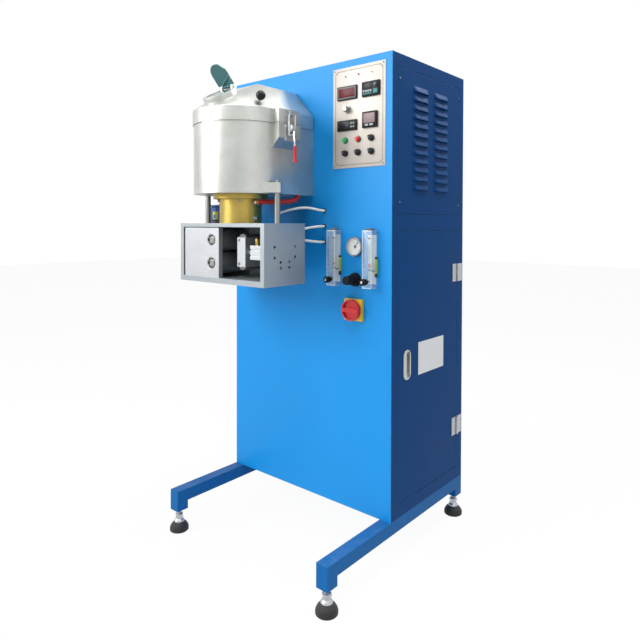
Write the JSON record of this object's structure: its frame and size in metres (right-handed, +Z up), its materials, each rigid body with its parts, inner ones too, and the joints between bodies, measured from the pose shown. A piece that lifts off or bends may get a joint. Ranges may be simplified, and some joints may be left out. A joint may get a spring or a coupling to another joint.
{
  "type": "vertical continuous casting machine",
  "caption": "Free-standing casting machine: induction melting head over a roller box on a sheet-metal cabinet with a side door, control panel, gas meters and levelling feet.",
  "frame": {"origin": "on the floor, under the middle of the machine's bounding box", "axes": "+X to the right along the control face, +Y from the control face to the back, +Z up"},
  "size_m": [0.723, 0.823, 1.567],
  "materials": {
    "base_rails": "satin powder coat",
    "foot_studs": "zinc plated",
    "foot_pads": "matte",
    "front_panel": "fine powder coat",
    "back_wrap": "fine powder coat",
    "side_frame": "fine powder coat",
    "deck_panels": "fine powder coat",
    "vent_panel": "fine powder coat",
    "generator": "satin",
    "face_screws": "plated",
    "panel_plate": "fine brushed",
    "lamps": "moulded lenses",
    "instruments": "moulded cases",
    "flow_blocks": "clear polished acrylic",
    "fittings": "machined, some nickel plated",
    "gauge_case": "polished bezel",
    "regulator_body": "moulded",
    "isolator_plate": "moulded",
    "grommets": "matte",
    "hoses": "extruded tube",
    "head_casing": "satin bead blasted",
    "furnace_core": "cast",
    "cooler_housing": "turned",
    "clamp_base": "plated",
    "tie_rods": "turned",
    "roller_box": "satin anodised",
    "bearing_blocks": "milled",
    "pinch_cylinder": "anodised",
    "drive_motor": "painted",
    "door_hinge_fixed": "zinc plated",
    "side_door": "fine powder coat",
    "door_hinge_moving": "zinc plated",
    "door_pull": "satin chrome",
    "door_plate": "plain",
    "head_lid": "satin bead blasted",
    "sight_glass": "tinted pane",
    "lid_knob": "moulded",
    "sight_mirror": "polished",
    "clamp_handle": "plated, dipped red grip",
    "clamp_hook": "plated wire",
    "isolator_handle": "moulded",
    "green_button": "moulded",
    "red_button": "moulded",
    "selector_1": "moulded",
    "selector_2": "moulded",
    "selector_3": "moulded",
    "selector_4": "moulded",
    "pot_knob": "turned cap",
    "keypad_knob": "moulded",
    "flow_knob_left": "knurled",
    "flow_knob_right": "knurled",
    "float_left": "moulded",
    "float_right": "moulded",
    "regulator_knob": "ribbed",
    "gauge_needle": "enamel",
    "drive_roller_upper": "ground",
    "drive_roller_lower": "ground",
    "pinch_fork": "milled",
    "pinch_roller_upper": "ground",
    "pinch_roller_lower": "ground"
  },
  "bodies": {
    "frame": {"base_rails": "base_rails", "foot_studs": "foot_studs", "foot_pads": "foot_pads", "front_panel": "front_panel", "back_wrap": "back_wrap", "side_frame": "side_frame", "deck_panels": "deck_panels", "vent_panel": "vent_panel", "generator": "generator", "face_screws": "face_screws", "panel_plate": "panel_plate", "lamps": "lamps", "instruments": "instruments", "flow_blocks": "flow_blocks", "fittings": "fittings", "gauge_case": "gauge_case", "regulator_body": "regulator_body", "isolator_plate": "isolator_plate", "grommets": "grommets", "hoses": "hoses", "head_casing": "head_casing", "furnace_core": "furnace_core", "cooler_housing": "cooler_housing", "clamp_base": "clamp_base", "tie_rods": "tie_rods", "roller_box": "roller_box", "bearing_blocks": "bearing_blocks", "pinch_cylinder": "pinch_cylinder", "drive_motor": "drive_motor", "door_hinge_fixed": "door_hinge_fixed"},
    "door": {"side_door": "side_door", "door_hinge_moving": "door_hinge_moving", "door_pull": "door_pull", "door_plate": "door_plate"},
    "lid": {"head_lid": "head_lid", "sight_glass": "sight_glass", "lid_knob": "lid_knob"},
    "mirror": {"sight_mirror": "sight_mirror"},
    "latch_handle": {"clamp_handle": "clamp_handle"},
    "latch_hook": {"clamp_hook": "clamp_hook"},
    "isolator": {"isolator_handle": "isolator_handle"},
    "start_button": {"green_button": "green_button"},
    "stop_button": {"red_button": "red_button"},
    "switch_1": {"selector_1": "selector_1"},
    "switch_2": {"selector_2": "selector_2"},
    "switch_3": {"selector_3": "selector_3"},
    "switch_4": {"selector_4": "selector_4"},
    "speed_knob": {"pot_knob": "pot_knob"},
    "keypad_dial": {"keypad_knob": "keypad_knob"},
    "flow_valve_left": {"flow_knob_left": "flow_knob_left"},
    "flow_valve_right": {"flow_knob_right": "flow_knob_right"},
    "flow_float_left": {"float_left": "float_left"},
    "flow_float_right": {"float_right": "float_right"},
    "pressure_knob": {"regulator_knob": "regulator_knob"},
    "needle": {"gauge_needle": "gauge_needle"},
    "roller_upper": {"drive_roller_upper": "drive_roller_upper"},
    "roller_lower": {"drive_roller_lower": "drive_roller_lower"},
    "fork": {"pinch_fork": "pinch_fork"},
    "pinch_upper": {"pinch_roller_upper": "pinch_roller_upper"},
    "pinch_lower": {"pinch_roller_lower": "pinch_roller_lower"}
  },
  "joints": [
    {"name": "door_hinge", "type": "hinge", "parent": "frame", "child": "door", "pos_m": [0.3543, 0.3455, 0.6045], "axis": [0, 0, 1], "range_deg": [0, 120]},
    {"name": "lid_hinge", "type": "hinge", "parent": "frame", "child": "lid", "pos_m": [-0.2746, -0.178, 1.3598], "axis": [0, -1, 0], "range_deg": [0, 100]},
    {"name": "mirror_hinge", "type": "hinge", "parent": "lid", "child": "mirror", "pos_m": [-0.115, -0.31488, 1.48283], "axis": [-1, 0, 0], "range_deg": [-77, 40]},
    {"name": "latch_handle", "type": "hinge", "parent": "frame", "child": "latch_handle", "pos_m": [0.08, -0.2165, 1.342], "axis": [0, -1, 0], "range_deg": [0, 100]},
    {"name": "latch_hook", "type": "hinge", "parent": "latch_handle", "child": "latch_hook", "pos_m": [0.076, -0.2165, 1.324], "axis": [0, -1, 0], "range_deg": [-100, 0]},
    {"name": "isolator_turn", "type": "hinge", "parent": "frame", "child": "isolator", "pos_m": [0.2125, -0.0845, 0.777], "axis": [0, 1, 0], "range_deg": [0, 90]},
    {"name": "start_press", "type": "slide", "parent": "frame", "child": "start_button", "axis": [0, 1, 0], "range_m": [0, 0.004], "stiffness_N_per_m": 400},
    {"name": "stop_press", "type": "slide", "parent": "frame", "child": "stop_button", "axis": [0, 1, 0], "range_m": [0, 0.004], "stiffness_N_per_m": 400},
    {"name": "switch_1_turn", "type": "hinge", "parent": "frame", "child": "switch_1", "pos_m": [0.276, -0.0758, 1.313], "axis": [0, 1, 0], "range_deg": [0, 90]},
    {"name": "switch_2_turn", "type": "hinge", "parent": "frame", "child": "switch_2", "pos_m": [0.174, -0.0758, 1.2717], "axis": [0, 1, 0], "range_deg": [0, 90]},
    {"name": "switch_3_turn", "type": "hinge", "parent": "frame", "child": "switch_3", "pos_m": [0.225, -0.0758, 1.2717], "axis": [0, 1, 0], "range_deg": [0, 90]},
    {"name": "switch_4_turn", "type": "hinge", "parent": "frame", "child": "switch_4", "pos_m": [0.276, -0.0758, 1.2717], "axis": [0, 1, 0], "range_deg": [0, 90]},
    {"name": "speed_turn", "type": "hinge", "parent": "frame", "child": "speed_knob", "pos_m": [0.181, -0.0725, 1.411], "axis": [0, 1, 0], "range_deg": [-150, 150]},
    {"name": "keypad_turn", "type": "hinge", "parent": "frame", "child": "keypad_dial", "pos_m": [0.2967, -0.0795, 1.4731], "axis": [0, 1, 0], "range_deg": [-150, 150]},
    {"name": "flow_left_turn", "type": "hinge", "parent": "frame", "child": "flow_valve_left", "pos_m": [0.1395, -0.1085, 0.871], "axis": [0, -1, 0], "range_deg": [0, 720]},
    {"name": "flow_right_turn", "type": "hinge", "parent": "frame", "child": "flow_valve_right", "pos_m": [0.281, -0.1085, 0.871], "axis": [0, -1, 0], "range_deg": [0, 720]},
    {"name": "float_left_rise", "type": "slide", "parent": "frame", "child": "flow_float_left", "axis": [0, 0, 1], "range_m": [0, 0.08]},
    {"name": "float_right_rise", "type": "slide", "parent": "frame", "child": "flow_float_right", "axis": [0, 0, 1], "range_m": [0, 0.08]},
    {"name": "pressure_turn", "type": "hinge", "parent": "frame", "child": "pressure_knob", "pos_m": [0.215, -0.0885, 0.872], "axis": [0, -1, 0], "range_deg": [0, 1080]},
    {"name": "needle_turn", "type": "hinge", "parent": "frame", "child": "needle", "pos_m": [0.215, -0.0735, 0.976], "axis": [0, 1, 0], "range_deg": [-175, 95], "stiffness_Nm_per_rad": 0.002},
    {"name": "roller_upper_spin", "type": "hinge", "parent": "frame", "child": "roller_upper", "pos_m": [-0.1575, -0.2705, 0.9951], "axis": [0, 1, 0], "continuous": true},
    {"name": "roller_lower_spin", "type": "hinge", "parent": "frame", "child": "roller_lower", "pos_m": [-0.1575, -0.2705, 0.9211], "axis": [0, 1, 0], "continuous": true},
    {"name": "pinch_slide", "type": "slide", "parent": "frame", "child": "fork", "axis": [-1, 0, 0], "range_m": [-0.02, 0.029]},
    {"name": "pinch_upper_spin", "type": "hinge", "parent": "fork", "child": "pinch_upper", "pos_m": [-0.06, -0.258, 0.9951], "axis": [0, 1, 0], "continuous": true},
    {"name": "pinch_lower_spin", "type": "hinge", "parent": "fork", "child": "pinch_lower", "pos_m": [-0.06, -0.258, 0.9211], "axis": [0, 1, 0], "continuous": true}
  ],
  "couplings": [
    {"joint": "latch_hook", "follows": "latch_handle", "ratio": -1},
    {"joint": "roller_lower_spin", "follows": "roller_upper_spin", "ratio": 1}
  ]
}
